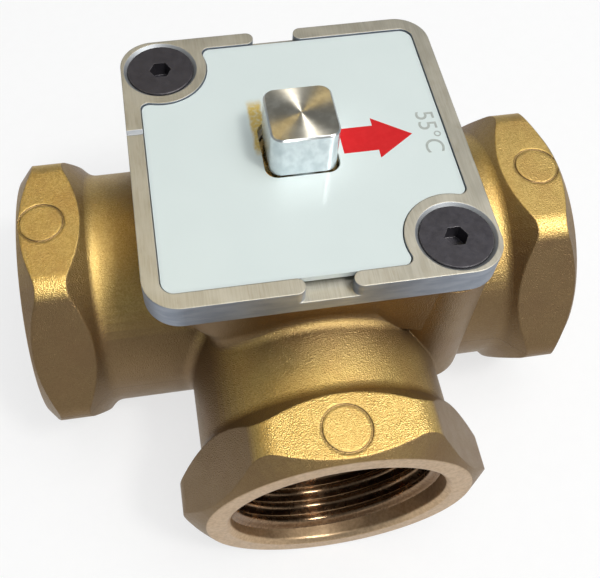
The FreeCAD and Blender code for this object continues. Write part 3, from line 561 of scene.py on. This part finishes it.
def flat_print(name, outline, finish):
    """A thin printed shape: its outline, in millimetres from the spindle axis, raised by the ink."""
    shape = bmesh.new()
    under = [shape.verts.new((px * MM, py * MM, LABEL_TOP)) for px, py in outline]
    upper = [shape.verts.new((px * MM, py * MM, LABEL_TOP + INK)) for px, py in outline]
    shape.faces.new(upper)
    shape.faces.new(under[::-1])
    count = len(outline)
    for i in range(count):
        j = (i + 1) % count
        shape.faces.new((under[i], under[j], upper[j], upper[i]))
    mesh = bpy.data.meshes.new(name)
    shape.to_mesh(mesh)
    shape.free()
    piece = bpy.data.objects.new(name, mesh)
    piece.data.materials.append(finish.material)
    bpy.context.collection.objects.link(piece)
    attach(piece, "plate")
    print(name, "printed")

# the arrow, in millimetres: where its tail, neck and tip are, and half its width at tail and head
TAIL, NECK, TIP = 6.5, 11.75, 17.4
ARROW_Y, TAIL_HALF, HEAD_HALF = 0.4, 2.4, 3.9
lower = [(TAIL, ARROW_Y - TAIL_HALF), (NECK, ARROW_Y - TAIL_HALF), (NECK, ARROW_Y - HEAD_HALF)]
upper = [(x, 2 * ARROW_Y - y) for x, y in reversed(lower)]
red_ink = ink("red_ink", (0.60, 0.010, 0.013), (0.63, 0.014, 0.017), 0.42)
flat_print("flow_arrow", lower + [(TIP, ARROW_Y)] + upper, red_ink)

grey_ink = ink("grey_ink", (0.38, 0.41, 0.38), (0.45, 0.48, 0.45), 0.35)
SETTING_X, SETTING_Y, SETTING_SIZE = 20.0 * MM, 0.45 * MM, 4.0 * MM
letters = bpy.data.curves.new("setting_mark", "FONT")
letters.body = "55\u00b0C"
letters.align_x, letters.align_y = "CENTER", "CENTER"
letters.size = SETTING_SIZE
letters.extrude = INK / 2
setting = bpy.data.objects.new("setting_mark", letters)
bpy.context.collection.objects.link(setting)
setting_place = Matrix.Translation((SETTING_X, SETTING_Y, LABEL_TOP + INK / 2))
setting.matrix_world = setting_place @ Matrix.Rotation(math.radians(-90), 4, "Z")
letters.materials.append(grey_ink.material)
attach(setting, "plate")
bpy.context.view_layer.update()
print("setting printed", [round(v / MM, 2) for v in setting.dimensions], "mm")

# %% [markdown]
# ## The table and the light
# The valve stands on a pale table. A big soft box overhead lights everything evenly and leaves only a
# soft shadow. It would show in metal as one dull patch, so the gloss comes from small lamps and
# cards to the right and in front, as in a studio where metal is lit by what it mirrors: they mark
# where the brass turns towards the light. A weak warm card behind gives the gold tint on the tops.
# A dim, cool room does the rest and, with the brass's painted shade, lets the sides fall to brown.

# %% Set the table and lamps
PLAIN_WHITE = 0.70                # share of the table that looks plain white; the rest takes shadow

def table_finish():
    f = Finish("table_paper")
    f.colour(f.mix(f.band(f.noise(3.0), 0.35, 0.65), (0.93, 0.93, 0.93), (0.95, 0.95, 0.95)))
    f.rough(f.band(f.noise(1.0), 0.3, 0.7, 0.85, 0.95))
    f.set(Specular_IOR_Level=0.1)
    # what looks at the table straight, or in metal, sees most of it as plain white paper
    glow = f.add("ShaderNodeEmission")
    glow.inputs["Strength"].default_value = 1.0
    rays = f.add("ShaderNodeLightPath")
    seen = f.calc("MAXIMUM", rays.outputs["Is Camera Ray"],
                  f.calc("MAXIMUM", rays.outputs["Is Glossy Ray"], rays.outputs["Is Transmission Ray"]))
    blend = f.add("ShaderNodeMixShader")
    f.join(f.calc("MULTIPLY", seen, PLAIN_WHITE), blend.inputs[0])
    f.join(f.surface.outputs["BSDF"], blend.inputs[1])
    f.join(glow.outputs[0], blend.inputs[2])
    f.join(blend.outputs[0], f.out.inputs["Surface"])
    return f

REACH, DROP = 3.0, 0.1 * MM       # half the table's side, and how far it lies below the valve
corners = [(x * REACH, y * REACH, -DROP) for x, y in ((-1, -1), (1, -1), (1, 1), (-1, 1))]
floor_mesh = bpy.data.meshes.new("table")
floor_mesh.from_pydata(corners, [], [(0, 1, 2, 3)])
table = bpy.data.objects.new("table", floor_mesh)
table.data.materials.append(table_finish().material)
bpy.context.collection.objects.link(table)

def lamp(name, place, size, watts, colour):
    """A round lamp aimed at the middle of the valve; its place and width are in metres."""
    light = bpy.data.lights.new(name, "AREA")
    light.shape = "DISK"
    light.size = size
    light.energy = watts
    light.color = colour
    obj = bpy.data.objects.new(name, light)
    obj.location = place
    aim = Vector((0, 0, 30 * MM)) - Vector(place)
    obj.rotation_euler = aim.to_track_quat("-Z", "Y").to_euler()
    bpy.context.collection.objects.link(obj)
    print("lamp", name, watts, "W")
    return obj

NEUTRAL, WARM = (1.0, 0.985, 0.95), (1.0, 0.72, 0.22)
soft = lamp("soft_box", (0.20, -0.20, 0.90), 1.0, 5.6, (1.0, 0.99, 0.97))
soft.visible_glossy = False
lamp("key", (0.283, -0.288, 0.736), 0.14, 2.0, NEUTRAL)
for name, place, watts, colour in (("gloss_card", (0.290, -0.340, 0.70), 5.2, NEUTRAL),
                                   ("high_card", (0.26, -0.06, 0.78), 2.6, NEUTRAL),
                                   ("warm_card", (-0.20, 0.24, 0.70), 0.8, WARM)):
    lamp(name, place, 0.24, watts, colour).visible_diffuse = False

world = bpy.data.worlds.new("room")
world.use_nodes = True
room = world.node_tree.nodes["Background"]
room.inputs["Color"].default_value = (0.88, 0.94, 1.0, 1.0)
room.inputs["Strength"].default_value = 0.28
bpy.context.scene.world = world

# %% [markdown]
# ## The camera
# The camera looks down on the valve from the front and a little to its left, close enough for the
# near port to loom. It is placed by where it stands and which way its three axes point.

# %% Place the camera
lens = bpy.data.cameras.new("studio_camera")
lens.sensor_width = 36.0
lens.lens = 51.15
lens.shift_x, lens.shift_y = 0.0746, -0.0325
lens.clip_start, lens.clip_end = 0.01, 20.0
camera = bpy.data.objects.new("studio_camera", lens)
to_right = Vector((0.98856, -0.15046, 0.01038))
to_up = Vector((0.12143, 0.83490, 0.53682))
to_back = Vector((-0.08944, -0.52942, 0.84363))
camera.matrix_world = Matrix(((to_right.x, to_up.x, to_back.x, -19.84 * MM),
                              (to_right.y, to_up.y, to_back.y, -80.93 * MM),
                              (to_right.z, to_up.z, to_back.z, 149.89 * MM), (0, 0, 0, 1)))
bpy.context.collection.objects.link(camera)
bpy.context.scene.camera = camera
bpy.context.scene.view_settings.view_transform = "Standard"

# %% [markdown]
# ## Size
# Dressing must not change how big the valve is.

# %% Import json
import json
